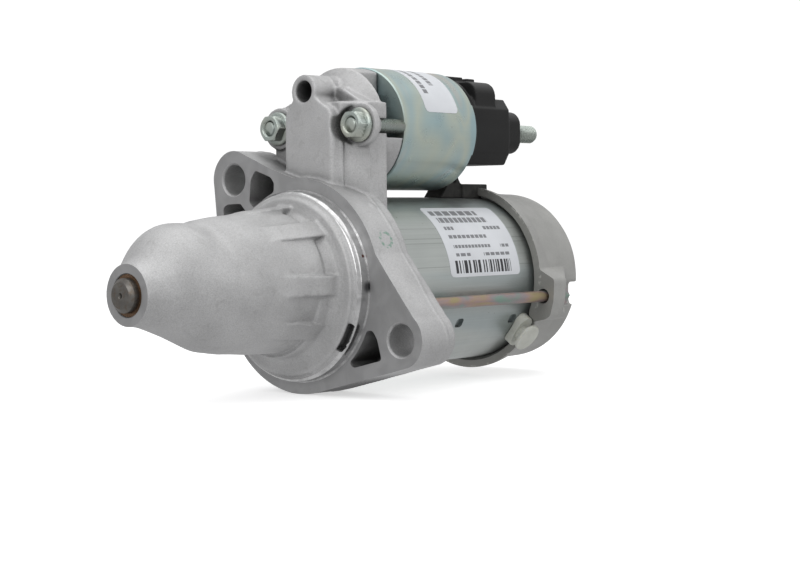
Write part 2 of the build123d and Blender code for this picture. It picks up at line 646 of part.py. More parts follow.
def plunger():
    """Hollow iron core with a slotted hook in front for the head of the lever."""
    hook_r = 5.2
    body = turned([(7.6, 0), (7.6, hook_r - 0.6), (8.2, hook_r), (31, hook_r), (32.5, 9.4), (58, 9.4),
                   (58, 0)], 0, SOLENOID_Z)
    body -= rod(46, 59, 6.6, 0, SOLENOID_Z)
    return body - block(9.3, 14.7, -6, 6, SOLENOID_Z - 6, SOLENOID_Z + 3.2)


def plunger_sleeve():
    return tube(CASE_FRONT + 0.2, 69.8, 10.1, 9.47, 0, SOLENOID_Z)


def plunger_spring():
    return coil(46.2, 70.8, 5.3, 0.45, 8, 0, SOLENOID_Z)


def fixed_core():
    body = turned([(66.4, 0), (66.4, 9.4), (70, 9.4), (70, 23.3), (76, 23.3), (76, 0)], 0, SOLENOID_Z)
    return body - rod(66, 71, 6.5, 0, SOLENOID_Z) - rod(66, 77, 2.9, 0, SOLENOID_Z)


def coil_bobbin():
    return turned([(39.4, 10.15), (39.4, 23), (41, 23), (41, 11.4), (68, 11.4), (68, 23), (69.8, 23),
                   (69.8, 10.15)], 0, SOLENOID_Z)


def coil_winding():
    return turned([(41.1, 11.45), (41.1, 22.2), (67.9, 22.2), (67.9, 11.45)], 0, SOLENOID_Z)


def contact_rod():
    return turned([(63, 0), (63, 2.4), (63.4, 2.8), (90.6, 2.8), (91, 2.4), (91, 0)], 0, SOLENOID_Z)


def contact_disc():
    return tube(88, 90, 13, 2.8, 0, SOLENOID_Z)


def contact_spring():
    return coil(90.1, 96.9, 3.6, 0.35, 4, 0, SOLENOID_Z)


def battery_terminal():
    """Fixed contact, the square head behind it and the M8 stud with its shoulder."""
    y, z = TERMINAL_YZ
    contact = block(93, 97.2, -13, -4.4, 60, 76)
    head = block(97.2, 101.5, y - 6, y + 6, z - 6, z + 6)
    stud = turned([(101.5, 0), (101.5, 5), (TOWER_BACK, 5), (TOWER_BACK, TERMINAL_R),
                   (TERMINAL_TIP - 1.2, TERMINAL_R), (TERMINAL_TIP, 2.9), (TERMINAL_TIP, 0)], y, z)
    return contact + head + stud


def motor_contact():
    """Fixed contact with the tongue that the motor's lead is welded to."""
    return (block(93, 95.5, -8, 8, 48.4, 60) - block(92, 96, -9, -3.9, 59, 61)
            + block(89.5, 94, -4, 4, 48.4, 50.4) + block(89.5, 92, -4, 4, 42, 50.4))


def start_terminal():
    return block(97, 106, -3.2, 3.2, 82.2, 83.0)


def terminal_cap():
    """Moulded black cap: round base, ridged block, battery tower and plug socket."""
    base = turned([(76, 0), (76, 23.35), (CASE_BACK - 1, 23.35), (CASE_BACK - 1, 22.5),
                   (CASE_BACK + 0.2, 22.5), (CASE_BACK + 1.2, 21.9), (88, 21.3), (94.2, 17.4), (94.2, 0)],
                  0, SOLENOID_Z)
    side = Polygon((-12.6, 79.2), (-15.9, 74.4), (-15.9, 55.2), (-13.0, 50.0), (13.0, 50.0), (15.9, 55.2),
                   (15.9, 74.4), (12.6, 79.2), align=None)
    body = base + along_x(side, 84, CAP_BACK)
    tower = Pos(*TERMINAL_YZ) * RectangleRounded(18.8, 18.8, 6.0)
    body += along_x(tower, 84, TOWER_BACK)
    socket = fillet((Pos(0, 78) * Rectangle(30.4, 16.8)).vertices().sort_by(Axis.Y)[-2:], 6.2)
    body += along_x(socket, 96, 110) + along_x(socket, 84, 97).intersect(
        turned([(84, 0), (84, 24.3), (88, 24.0), (97, 18.0), (97, 0)], 0, SOLENOID_Z))
    latch = block(84.4, 101.4, -3.4, 3.4, 80, 88.7)
    latch += block(104.4, 110, -3.4, 3.4, 80, 88.4)
    body += latch
    body -= turned([(75, 0), (75, 16.6), (92.5, 16.6), (93.5, 14.8), (97, 14.8), (97, 0)], 0, SOLENOID_Z)
    body -= block(98.5, 111, -9.5, 9.5, 80.4, 84.8)
    return body - battery_terminal() - motor_contact() - start_terminal()


def lead(radius):
    """Braided lead from the solenoid down to the brush holder."""
    path = FilletPolyline((90.75, 0, 42), (90.75, 0, 38.1), (105.5, 0, 38.1), (105.5, 0, 29),
                          radius=2.6)
    return sweep(Plane(origin=path @ 0, z_dir=path % 0) * Circle(radius), path)


def lead_grommet():
    """Rubber boot from the cap down to the seam of yoke and cover."""
    body = side_slab([(82.6, 34), (87, 39.2), (89.4, 42.2), (94.4, 42.2), (94.4, 49.9), (95.6, 49.9),
                      (96, 44), (98, 41.4), (98, 34)], -5, 5)
    body += block(97.5, 115, -6.2, 6.2, 34, 41.6)
    body -= rod(80, YOKE_BACK, YOKE_R + 0.06)
    body -= block(YOKE_BACK - 0.1, 123, -10, 10, 30, 36.1)
    return body - lead(2.05) - motor_contact()


def solenoid_label():
    wrap = sector(15, 165, 60)
    return along_x((Circle(CASE_R + 0.15) - Circle(CASE_R)) & wrap, 51, 72, 0, SOLENOID_Z)


# ---------------------------------------------------------------- all parts
PARTS = {
    "drive_housing": drive_housing, "nose_bushing": nose_bushing, "centre_bracket": centre_bracket,
    "centre_bush": centre_bush, "internal_gear": internal_gear, "gear_cover_plate": gear_cover_plate,
    "yoke_tube": yoke_tube, "field_magnets": field_magnets, "brush_holder": brush_holder,
    "brushes": brushes, "brush_springs": brush_springs, "rear_cover": rear_cover,
    "rear_bearing_outer_race": lambda: race(13, 10.6),
    "rear_bearing_inner_race": lambda: race(7.4, 5),
    "rear_bearing_balls": rear_bearing_balls, "through_bolts": through_bolts,
    "cover_screws": cover_screws, "drain_plug": drain_plug, "yoke_label": yoke_label,
    "solenoid_case": solenoid_case, "solenoid_studs": solenoid_studs,
    "solenoid_nuts": solenoid_nuts, "plunger_sleeve": plunger_sleeve, "coil_bobbin": coil_bobbin,
    "coil_winding": coil_winding, "fixed_core": fixed_core, "terminal_cap": terminal_cap,
    "battery_terminal": battery_terminal, "motor_contact": motor_contact,
    "start_terminal": start_terminal, "solenoid_label": solenoid_label,
    "motor_lead": lambda: lead(2.0), "lead_grommet": lead_grommet, "lever_holder": lever_holder,
    "lever_packing": lever_packing, "lever_pin": lever_pin, "shift_lever": shift_lever,
    "plunger": plunger, "plunger_spring": plunger_spring, "contact_rod": contact_rod,
    "contact_disc": contact_disc, "contact_spring": contact_spring,
    "armature_shaft": armature_shaft, "armature_core": armature_core,
    "armature_winding": armature_winding, "commutator_hub": commutator_hub,
    "commutator_bars": commutator_bars, "drive_shaft": drive_shaft, "planet_pins": planet_pins,
    "pilot_bush": pilot_bush, "stop_collar": stop_collar, "stop_ring": stop_ring,
    "planet_gear_1": lambda: planet_gear(PLANET_ANGLES[0]),
    "planet_gear_2": lambda: planet_gear(PLANET_ANGLES[1]),
    "planet_gear_3": lambda: planet_gear(PLANET_ANGLES[2]),
    "clutch_outer": clutch_outer, "clutch_cover": clutch_cover, "clutch_rollers": clutch_rollers,
    "clutch_springs": clutch_springs, "pinion": pinion,
}

os.makedirs("parts", exist_ok=True)
for name, make in PARTS.items():
    made = make()
    solids = made if isinstance(made, list) else [made]
    whole = [s for item in solids for s in item.solids()]
    export_step(Compound(children=whole) if len(whole) > 1 else whole[0], f"parts/{name}.step")
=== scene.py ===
import json
from math import atan2, cos, exp, hypot, pi, radians, sin, sqrt, tau

import bmesh
import bpy
from mathutils import Matrix, Vector, noise


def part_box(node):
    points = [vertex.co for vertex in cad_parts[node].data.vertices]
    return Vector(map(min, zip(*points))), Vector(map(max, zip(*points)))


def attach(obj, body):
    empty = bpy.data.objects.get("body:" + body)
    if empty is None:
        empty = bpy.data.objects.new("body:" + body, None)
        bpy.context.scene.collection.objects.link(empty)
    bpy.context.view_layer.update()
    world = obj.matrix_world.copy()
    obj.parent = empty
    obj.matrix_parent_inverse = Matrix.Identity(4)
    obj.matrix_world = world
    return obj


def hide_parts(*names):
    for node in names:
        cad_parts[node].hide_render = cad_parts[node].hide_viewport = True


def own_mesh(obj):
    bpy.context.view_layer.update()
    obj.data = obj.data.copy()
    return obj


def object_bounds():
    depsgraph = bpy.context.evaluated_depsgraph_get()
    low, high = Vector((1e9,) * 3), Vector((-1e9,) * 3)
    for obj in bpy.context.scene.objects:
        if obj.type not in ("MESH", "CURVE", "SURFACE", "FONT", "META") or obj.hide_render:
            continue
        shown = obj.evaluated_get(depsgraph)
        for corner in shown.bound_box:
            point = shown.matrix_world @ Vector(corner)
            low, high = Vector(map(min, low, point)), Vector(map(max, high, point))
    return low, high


# The looks of a car's starter motor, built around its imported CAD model. Metres; +X runs from the
# nose along the shaft to the motor, and +Z points at the solenoid.

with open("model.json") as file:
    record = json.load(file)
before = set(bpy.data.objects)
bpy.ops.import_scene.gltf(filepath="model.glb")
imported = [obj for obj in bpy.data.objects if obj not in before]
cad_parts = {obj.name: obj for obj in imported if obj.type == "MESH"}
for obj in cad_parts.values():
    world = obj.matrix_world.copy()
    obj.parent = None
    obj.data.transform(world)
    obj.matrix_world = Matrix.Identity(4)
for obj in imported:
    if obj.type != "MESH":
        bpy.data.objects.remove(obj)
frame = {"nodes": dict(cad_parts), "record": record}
CAD_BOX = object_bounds()
NODES = frame["nodes"]
BODY_OF = {n: b for b, ns in frame["record"]["behaviour"]["bodies"].items() for n in ns}
MM = 0.001


# ---------------------------------------------------------------- material helpers
class Paint:
    """A procedural material under construction. Lengths given to it are in millimetres."""

    def __init__(self, name, metallic=0.0, roughness=0.5):
        self.material = bpy.data.materials.new(name)
        self.material.use_nodes = True
        self.tree = self.material.node_tree
        self.surface = self.tree.nodes["Principled BSDF"]
        self.surface.inputs["Metallic"].default_value = metallic
        self.surface.inputs["Roughness"].default_value = roughness
        self.point = self.node("ShaderNodeTexCoord").outputs["Object"]

    def node(self, kind, **settings):
        made = self.tree.nodes.new(kind)
        for key, value in settings.items():
            setattr(made, key, value)
        return made

    def feed(self, socket, value):
        """Connects a socket, or sets it to a plain value."""
        if isinstance(value, bpy.types.NodeSocket):
            self.tree.links.new(value, socket)
        else:
            socket.default_value = value

    def set(self, **inputs):
        """Feeds the surface's inputs, named with underscores for spaces."""
        for key, value in inputs.items():
            self.feed(self.surface.inputs[key.replace("_", " ")], value)

    def math(self, operation, a, b=0.0, c=0.0, clamp=False):
        made = self.node("ShaderNodeMath", operation=operation, use_clamp=clamp)
        for socket, value in zip(made.inputs, (a, b, c)):
            self.feed(socket, value)
        return made.outputs[0]

    def stretched(self, along=(1, 1, 1)):
        """The point in millimetres, divided by along, so a pattern runs longer that way."""
        made = self.node("ShaderNodeVectorMath", operation="MULTIPLY")
        self.feed(made.inputs[0], self.point)
        made.inputs[1].default_value = [1 / (MM * a) for a in along]
        return made.outputs[0]

    def noise(self, size, detail=3.0, along=(1, 1, 1), distortion=0.0, point=None):
        """Cloudy values from 0 to 1, with clouds of about the given size."""
        made = self.node("ShaderNodeTexNoise")
        self.feed(made.inputs["Vector"], point or self.stretched(along))
        made.inputs["Scale"].default_value = 1 / size
        made.inputs["Detail"].default_value = detail
        made.inputs["Distortion"].default_value = distortion
        return made.outputs["Fac"]

    def cells(self, size, along=(1, 1, 1)):
        """Distance from the nearest of many scattered points, in cell widths."""
        made = self.node("ShaderNodeTexVoronoi")
        self.feed(made.inputs["Vector"], self.stretched(along))
        made.inputs["Scale"].default_value = 1 / size
        return made.outputs["Distance"]

    def ramp(self, value, *stops, smooth=False):
        """Colours, or greys given as one number, at places from 0 to 1."""
        made = self.node("ShaderNodeValToRGB")
        if smooth:
            made.color_ramp.interpolation = "EASE"
        elements = made.color_ramp.elements
        while len(elements) < len(stops):
            elements.new(0.5)
        for element, (place, colour) in zip(elements, stops):
            element.position = place
            element.color = (*colour, 1) if isinstance(colour, tuple) else (colour,) * 3 + (1,)
        self.feed(made.inputs[0], value)
        return made.outputs[0]

    def mix(self, share, a, b, how="MIX"):
        made = self.node("ShaderNodeMix", data_type="RGBA", blend_type=how)
        self.feed(made.inputs[0], share)
        for socket, value in ((made.inputs[6], a), (made.inputs[7], b)):
            self.feed(socket, (*value, 1) if isinstance(value, tuple) else value)
        return made.outputs[2]

    def axes(self):
        """x, y and z of the point in millimetres."""
        made = self.node("ShaderNodeSeparateXYZ")
        self.feed(made.inputs[0], self.stretched())
        return made.outputs

    def facing(self):
        """x, y and z of the surface's normal."""
        made = self.node("ShaderNodeSeparateXYZ")
        self.feed(made.inputs[0], self.node("ShaderNodeNewGeometry").outputs["Normal"])
        return made.outputs

    def radius(self, y0=0.0, z0=0.0):
        """Distance in millimetres from the line along X through (y0, z0)."""
        _, y, z = self.axes()
        dy, dz = self.math("SUBTRACT", y, y0), self.math("SUBTRACT", z, z0)
        square = self.math("ADD", self.math("MULTIPLY", dy, dy), self.math("MULTIPLY", dz, dz))
        return self.math("SQRT", square)

    def between(self, value, low, high):
        """1 where value lies between low and high, else 0."""
        return self.math("MULTIPLY", self.math("GREATER_THAN", value, low),
                         self.math("LESS_THAN", value, high))

    def near(self, place, reach):
        """Distance in millimetres from a place, mapped so that 1 is the place and 0 lies beyond reach."""
        made = self.node("ShaderNodeVectorMath", operation="DISTANCE")
        self.feed(made.inputs[0], self.stretched())
        made.inputs[1].default_value = place
        return self.math("SUBTRACT", 1.0, self.math("DIVIDE", made.outputs["Value"], reach), clamp=True)

    def turn(self, z0=0.0):
        """Angle in degrees about the line along X at height z0, from +Y towards +Z."""
        _, y, z = self.axes()
        angle = self.math("ARCTAN2", self.math("SUBTRACT", z, z0), y)
        return self.math("MULTIPLY", angle, 180 / pi)

    def sheltered(self, reach, tone, share):
        """The tone, darkened by up to share where surfaces within reach millimetres shade it."""
        made = self.node("ShaderNodeAmbientOcclusion", samples=3)
        made.inputs["Distance"].default_value = reach * MM
        dark = self.ramp(made.outputs["AO"], (0.36, share), (0.82, 0.0))
        return self.mix(dark, tone, grey(0.03))

    def bump(self, height, depth, strength=1.0, under=None):
        """Relief of the given depth, on top of an earlier bump."""
        made = self.node("ShaderNodeBump")
        made.inputs["Strength"].default_value = strength
        made.inputs["Distance"].default_value = depth * MM
        self.feed(made.inputs["Height"], height)
        if under is not None:
            self.feed(made.inputs["Normal"], under)
        return made.outputs[0]


def grey(level):
    return (level, level, level)


# ---------------------------------------------------------------- materials
def cast_aluminium():
    """Sand-blasted die casting, machined bright on the spigot, the flange face and the nose ring."""
    p = Paint("cast_aluminium", 0.55)
    x = p.axes()[0]
    r = p.radius()
    forward = p.math("LESS_THAN", p.facing()[0], -0.9)
    spigot = p.math("MULTIPLY", p.between(r, 36.6, 38.6), p.between(x, -5.6, 0.4))
    face = p.math("MULTIPLY", forward, p.between(x, -0.25, 0.25))
    ring = p.math("MULTIPLY", forward, p.math("LESS_THAN", x, NOSE_FACE_X + 0.3))
    flat = p.math("MAXIMUM", face, ring, clamp=True)
    machined = p.math("MAXIMUM", spigot, flat, clamp=True)

    grain = p.noise(0.45, 2.0)
    sand = p.ramp(grain, (0.30, grey(0.49)), (0.50, grey(0.56)), (0.72, grey(0.63)))
    clouds = p.ramp(p.noise(14, 3.0), (0.35, grey(0.86)), (0.65, grey(1.0)))
    cast = p.mix(1.0, sand, clouds, "MULTIPLY")
    stains = p.ramp(p.noise(4.5, 5.0, distortion=1.2), (0.58, 0.0), (0.72, 1.0))
    cast = p.mix(p.math("MULTIPLY", stains, 0.22), cast, (0.27, 0.265, 0.26))
    cast = p.sheltered(10.0, inked(p, cast), 0.92)

    swirl = p.node("ShaderNodeCombineXYZ")
    p.feed(swirl.inputs[0], r)
    rings = p.noise(0.35, 3.0, point=swirl.outputs[0])
    smudge = p.ramp(p.noise(9, 4.0, distortion=0.8), (0.40, grey(0.34)), (0.62, grey(0.40)))
    smooth = p.mix(p.math("MULTIPLY", rings, 0.25), smudge, (0.32, 0.32, 0.33))
    bright = p.ramp(p.noise(5, 4.0, distortion=0.8), (0.35, grey(0.50)), (0.62, grey(0.70)))
    bright = fingered(p, bright)
    p.set(Base_Color=p.mix(machined, cast, p.mix(spigot, smooth, bright)))

    rough = p.ramp(p.noise(7, 3.0), (0.3, 0.48), (0.7, 0.60))
    fine = p.ramp(rings, (0.3, 0.34), (0.7, 0.48))
    fine = p.mix(spigot, fine, p.ramp(rings, (0.3, 0.16), (0.7, 0.28)))
    p.set(Roughness=p.mix(machined, rough, fine), Metallic=p.mix(spigot, grey(0.55), grey(0.9)))
    grainy = p.math("MULTIPLY", grain, p.math("SUBTRACT", 1.0, machined))
    relief = p.bump(grainy, 0.11, 0.5)
    p.set(Normal=p.bump(p.math("MULTIPLY", rings, machined), 0.02, 0.4, relief))
    return p.material


def inked(p, tone):
    """Green ink that an inspector's stamp left smeared on the flange's edge."""
    centre = p.near(INK_PLACE, 6.0)
    ring = p.between(centre, 0.30, 0.50)
    worn = p.ramp(p.noise(1.6, 3.0), (0.47, 0.0), (0.60, 0.6))
    return p.mix(p.math("MULTIPLY", ring, worn), tone, (0.09, 0.30, 0.19))


def fingered(p, tone):
    """A dark round rub and a speck of rust on the spigot."""
    rub = p.ramp(p.near(RUB_PLACE, 3.6), (0.1, 0.0), (0.8, 0.85), smooth=True)
    rust = p.math("GREATER_THAN", p.near(RUST_PLACE, 1.2), 0.45)
    return p.mix(rust, p.mix(rub, tone, (0.05, 0.05, 0.055)), (0.14, 0.045, 0.03))


def machined_aluminium():
    """Rear cover: fine-blasted, warmer than the housing, its front rim face darkened with painted shade,
    with chipped edges.
    """
    p = Paint("machined_aluminium", 0.5)
    x = p.axes()[0]
    r = p.radius()
    grain = p.noise(0.35, 2.0)
    tone = p.ramp(grain, (0.3, (0.41, 0.41, 0.395)), (0.7, (0.48, 0.48, 0.46)))
    clouds = p.ramp(p.noise(12, 4.0), (0.35, grey(0.88)), (0.65, grey(1.0)))
    tone = p.mix(1.0, tone, clouds, "MULTIPLY")
    # Painted shade: the rim's forward-facing front face is mixed towards dark grey.
    forward = p.math("LESS_THAN", p.facing()[0], -0.7)
    rim = p.math("MULTIPLY", forward, p.math("LESS_THAN", x, COVER_RIM_X + 0.4))
    tone = p.mix(p.math("MULTIPLY", rim, 0.6), tone, (0.24, 0.235, 0.215))
    corner = p.math("MULTIPLY", p.between(r, 39.55, 41), p.math("LESS_THAN", x, COVER_RIM_X + 0.5))
    chips = p.ramp(p.noise(1.6, 4.0), (0.54, 0.0), (0.64, 0.45))
    tone = p.mix(p.math("MULTIPLY", corner, chips), tone, (0.74, 0.73, 0.69))
    marks = p.ramp(p.noise(2.4, 4.0, distortion=1.5), (0.66, 0.0), (0.74, 0.5))
    p.set(Base_Color=p.mix(marks, tone, (0.26, 0.25, 0.24)))
    p.set(Roughness=p.ramp(p.noise(5, 3.0), (0.3, 0.48), (0.7, 0.58)))
    p.set(Normal=p.bump(grain, 0.05, 0.5))
    return p.material


def zinc_plate(name, tones, roughness, film=0.5, streak=(6, 1, 1), seams=()):
    """Passivated zinc with drifting tints, faint draw lines and dark specks. Seams are angles in
    degrees round the shaft, where a pale line runs along X."""
    p = Paint(name, 0.78)
    drift = p.noise(22, 1.6, along=streak, distortion=0.3)
    places = [0.34 + 0.32 * i / (len(tones) - 1) for i in range(len(tones))]
    tint = p.ramp(drift, *zip(places, tones))
    lines = p.ramp(p.noise(0.7, 3.0, along=(60, 1, 1)), (0.35, grey(0.90)), (0.65, grey(1.04)))
    tint = p.mix(film, tint, p.mix(1.0, tint, lines, "MULTIPLY"))
    tint = p.sheltered(9.0, tint, 0.45)
    for angle in seams:
        line = p.between(p.turn(), angle - 0.25, angle + 0.25)
        tint = p.mix(p.math("MULTIPLY", line, 0.45), tint, (0.20, 0.21, 0.20))
    specks = p.math("LESS_THAN", p.cells(5.5), 0.045)
    p.set(Base_Color=p.mix(p.math("MULTIPLY", specks, 0.6), tint, (0.10, 0.09, 0.06)))
    p.set(Roughness=p.ramp(p.noise(6, 4.0), (0.3, roughness - 0.05), (0.7, roughness + 0.09)))
    p.set(Normal=p.bump(p.noise(1.2, 4.0), 0.02, 0.5))
    return p.material


def chromate():
    """Yellow chromate on the long bolts, drifting through pink and green."""
    p = Paint("yellow_chromate", 0.8)
    drift = p.noise(7, 3.0, along=(3, 1, 1), distortion=0.8)
    tint = p.ramp(drift, (0.34, (0.42, 0.35, 0.20)), (0.44, (0.43, 0.31, 0.27)),
                  (0.54, (0.36, 0.31, 0.32)), (0.64, (0.26, 0.36, 0.31)))
    p.set(Base_Color=tint, Roughness=p.ramp(p.noise(3, 3.0), (0.3, 0.34), (0.7, 0.46)))
    p.set(Normal=p.bump(p.noise(0.6, 3.0, along=(8, 1, 1)), 0.015, 0.5))
    return p.material


def printed_label(name, dashes, bars):
    """Satin paper with generic print, no lettering: rows of dashes and a block of upright bars.
    A row is (first and last place across it, first and last place along it, dash length);
    bars is the same without a dash length, or None. Places come from the two given axes."""
    across, along, rows = dashes
    p = Paint(name, 0.0)
    x, _, z = p.axes()
    places = {"x": x, "z": z, "turn": p.turn(SOLENOID_Z)}
    over, run = places[across], places[along]
    ink = 0.0
    for low, high, first, last, dash in rows:
        line = p.math("MULTIPLY", p.between(over, low, high), p.between(run, first, last))
        gaps = p.math("LESS_THAN", p.math("FRACT", p.math("DIVIDE", run, dash)), 0.80)
        ink = p.math("MAXIMUM", ink, p.math("MULTIPLY", line, gaps))
    ink = p.math("MULTIPLY", ink, 0.72)
    if bars:
        low, high, first, last = bars
        block = p.math("MULTIPLY", p.between(over, low, high), p.between(run, first, last))
        column = p.node("ShaderNodeTexWhiteNoise", noise_dimensions="1D")
        p.feed(column.inputs["W"], p.math("FLOOR", p.math("DIVIDE", run, 0.42)))
        dark = p.math("GREATER_THAN", column.outputs["Value"], 0.45)
        ink = p.math("MAXIMUM", ink, p.math("MULTIPLY", block, dark))
    flow = p.noise(11, 3.0)
    paper = p.ramp(flow, (0.3, (0.68, 0.70, 0.73)), (0.7, (0.74, 0.76, 0.79)))
    p.set(Base_Color=p.mix(ink, paper, (0.035, 0.035, 0.04)))
    p.set(Roughness=p.ramp(flow, (0.3, 0.34), (0.7, 0.46)), Specular_IOR_Level=0.4)
    p.set(Normal=p.bump(p.noise(1.5, 2.0), 0.01, 0.4))
    return p.material


def steel(name, tone, roughness, warm=0.0, lines=(1, 1, 1)):
    """Ground or turned steel, with a little oil or heat colour."""
    p = Paint(name, 0.95)
    cloud = p.noise(4, 4.0)
    low = tuple(t * 0.72 for t in tone)
    base = p.ramp(cloud, (0.3, low), (0.7, tone))
    oil = p.ramp(p.noise(2.2, 3.0, distortion=1.0), (0.5, 0.0), (0.7, 1.0))
    p.set(Base_Color=p.mix(p.math("MULTIPLY", oil, warm), base, (0.13, 0.085, 0.05)))
    p.set(Roughness=p.ramp(cloud, (0.3, roughness + 0.08), (0.7, roughness - 0.05)))
    p.set(Normal=p.bump(p.noise(0.3, 3.0, along=lines), 0.012, 0.5))
    return p.material


def moulded(name, tone, roughness, grain=0.25, sheen=0.3, dust_and_top_highlight=0.0):
    """Filled plastic with a fine etched grain and faint flow marks. What faces up is painted a lighter
    grey, a painted top highlight.
    """
    p = Paint(name, 0.0)
    flow = p.noise(9, 4.0, along=(3, 1, 1))
    light = tuple(t * 1.45 + 0.004 for t in tone)
    surface = p.ramp(flow, (0.3, tone), (0.75, light))
    # Painted highlight: faces that point up are mixed towards light grey, by up to the given share.
    painted_top_highlight = p.ramp(p.facing()["Z"], (0.15, 0.0), (0.9, dust_and_top_highlight))
    p.set(Base_Color=p.mix(painted_top_highlight, surface, grey(0.16)))
    p.set(Roughness=p.ramp(flow, (0.3, roughness), (0.7, roughness + 0.12)))
    p.set(Specular_IOR_Level=sheen)
    p.set(Normal=p.bump(p.noise(grain, 2.0), 0.03, 0.5))
    return p.material


def rubber():
    p = Paint("black_rubber", 0.0)
    dust_and_top_highlight = p.noise(3.5, 5.0, distortion=0.7)
    p.set(Base_Color=p.ramp(dust_and_top_highlight, (0.35, (0.022, 0.022, 0.021)), (0.75, (0.055, 0.054, 0.050))))
    p.set(Roughness=p.ramp(dust_and_top_highlight, (0.3, 0.62), (0.7, 0.8)), Specular_IOR_Level=0.25)
    p.set(Normal=p.bump(p.noise(0.5, 3.0), 0.05, 0.5))
    return p.material


def nylon():
    """Milky nylon that lets a little light through."""
    p = Paint("white_plastic", 0.0)
    cloud = p.noise(4, 3.0)
    p.set(Base_Color=p.ramp(cloud, (0.3, (0.56, 0.57, 0.51)), (0.7, (0.66, 0.67, 0.61))))
    p.set(Roughness=p.ramp(cloud, (0.3, 0.38), (0.7, 0.5)), Subsurface_Weight=0.25)
    p.surface.inputs["Subsurface Radius"].default_value = (0.0022, 0.0020, 0.0016)
    p.set(Normal=p.bump(p.noise(0.8, 3.0), 0.02, 0.4))
    return p.material


def copper():
    p = Paint("copper", 0.95)
    tone = p.noise(2.5, 4.0)
    p.set(Base_Color=p.ramp(tone, (0.3, (0.42, 0.19, 0.11)), (0.7, (0.66, 0.33, 0.20))))
    p.set(Roughness=p.ramp(tone, (0.3, 0.30), (0.7, 0.45)))
    p.set(Normal=p.bump(p.noise(0.9, 2.0, along=(12, 1, 1)), 0.08, 0.6))
    return p.material


def bronze():
    p = Paint("bronze", 0.85)
    pores = p.noise(0.4, 3.0)
    p.set(Base_Color=p.ramp(pores, (0.35, (0.10, 0.060, 0.035)), (0.65, (0.24, 0.15, 0.09))))
    p.set(Roughness=p.ramp(pores, (0.3, 0.5), (0.7, 0.34)))
    p.set(Normal=p.bump(pores, 0.03, 0.6))
    return p.material


def ceramic(name, tone):
    p = Paint(name, 0.1)
    grain = p.noise(0.5, 4.0)
    p.set(Base_Color=p.ramp(grain, (0.3, tuple(t * 0.7 for t in tone)), (0.7, tone)))
    p.set(Roughness=p.ramp(grain, (0.3, 0.6), (0.7, 0.75)))
    p.set(Normal=p.bump(grain, 0.05, 0.6))
    return p.material


NOSE_FACE_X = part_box("drive_housing")[0].x / MM
COVER_RIM_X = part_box("rear_cover")[0].x / MM
SOLENOID_Z = (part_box("solenoid_case")[0].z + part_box("solenoid_case")[1].z) / 2 / MM
INK_PLACE = (9.0, -37.3, 18.2)         # stamp on the flange's edge
RUB_PLACE = (-1.0, -38.1, 0.7)         # dark rub on the spigot
RUST_PLACE = (-1.2, -36.0, 12.6)       # rust speck on the spigot
YOKE_SEAMS = (141, 149, 152.5, 169, 197, 214)

MATERIALS = {
    "cast_aluminium": cast_aluminium(),
    "machined_aluminium": machined_aluminium(),
    "zinc_steel": zinc_plate("zinc_steel", [(0.40, 0.54, 0.56), (0.56, 0.62, 0.54), (0.45, 0.57, 0.57),
                                            (0.60, 0.57, 0.51)], 0.30, 0.15, (1, 2.2, 2.2)),
    "zinc_fastener": zinc_plate("zinc_fastener", [(0.55, 0.56, 0.48), (0.46, 0.52, 0.49),
                                                  (0.60, 0.58, 0.47)], 0.27),
    "bare_steel": steel("bare_steel", (0.50, 0.49, 0.47), 0.30, 0.2),
    "dark_steel": steel("dark_steel", (0.20, 0.19, 0.175), 0.38, 0.5),
    "bronze": bronze(),
    "copper": copper(),
    # The black plastic gets a painted top highlight: up to 0.30 of light grey on what faces up.
    "black_plastic": moulded("black_plastic", (0.010, 0.010, 0.010), 0.42, sheen=0.24, dust_and_top_highlight=0.30),
    "brown_plastic": moulded("brown_plastic", (0.13, 0.075, 0.045), 0.5),
    "white_plastic": nylon(),
    "black_rubber": rubber(),
    "magnet_ceramic": ceramic("magnet_ceramic", (0.10, 0.10, 0.105)),
    "carbon": ceramic("carbon", (0.13, 0.115, 0.10)),
    "label_paper": moulded("label_paper", (0.52, 0.53, 0.56), 0.42, 0.6, 0.4),
    "spring_steel": steel("spring_steel", (0.42, 0.40, 0.37), 0.35, 0.3),
}
SLOT_OF = {s["node"]: s["material_slot"] for s in frame["record"]["subparts"]}


def dress(obj, material):
    obj.data.materials.clear()
    obj.data.materials.append(material)


YOKE_ZINC = zinc_plate("yoke_zinc", [(0.46, 0.51, 0.51), (0.53, 0.56, 0.54), (0.49, 0.52, 0.50)], 0.36,
                       seams=YOKE_SEAMS)
OWN_FINISH = {"yoke_tube": YOKE_ZINC, "through_bolts": chromate()}

for name, obj in NODES.items():
    for place in obj.material_slots:
        place.material = OWN_FINISH.get(name, MATERIALS[SLOT_OF[name]])


# ---------------------------------------------------------------- mesh helpers
def link(name, mesh):
    obj = bpy.data.objects.new(name, mesh)
    bpy.context.scene.collection.objects.link(obj)
    return obj


def settle(obj):
    """Applies the object's modifiers."""
    depsgraph = bpy.context.evaluated_depsgraph_get()
    mesh = bpy.data.meshes.new_from_object(obj.evaluated_get(depsgraph))
    obj.modifiers.clear()
    obj.data = mesh
    return obj


def mesh_of(name, build):
    """New object whose mesh the given function draws with bmesh."""
    mesh = bpy.data.meshes.new(name)
    shape = bmesh.new()
    build(shape)
    bmesh.ops.recalc_face_normals(shape, faces=shape.faces)
    shape.to_mesh(mesh)
    shape.free()
    return link(name, mesh)


def welded_copy(node, name):
    """Copy of a CAD node whose split vertices are joined again."""
    def build(shape):
        shape.from_mesh(NODES[node].data)
        bmesh.ops.remove_doubles(shape, verts=shape.verts, dist=0.002 * MM)
    return mesh_of(name, build)


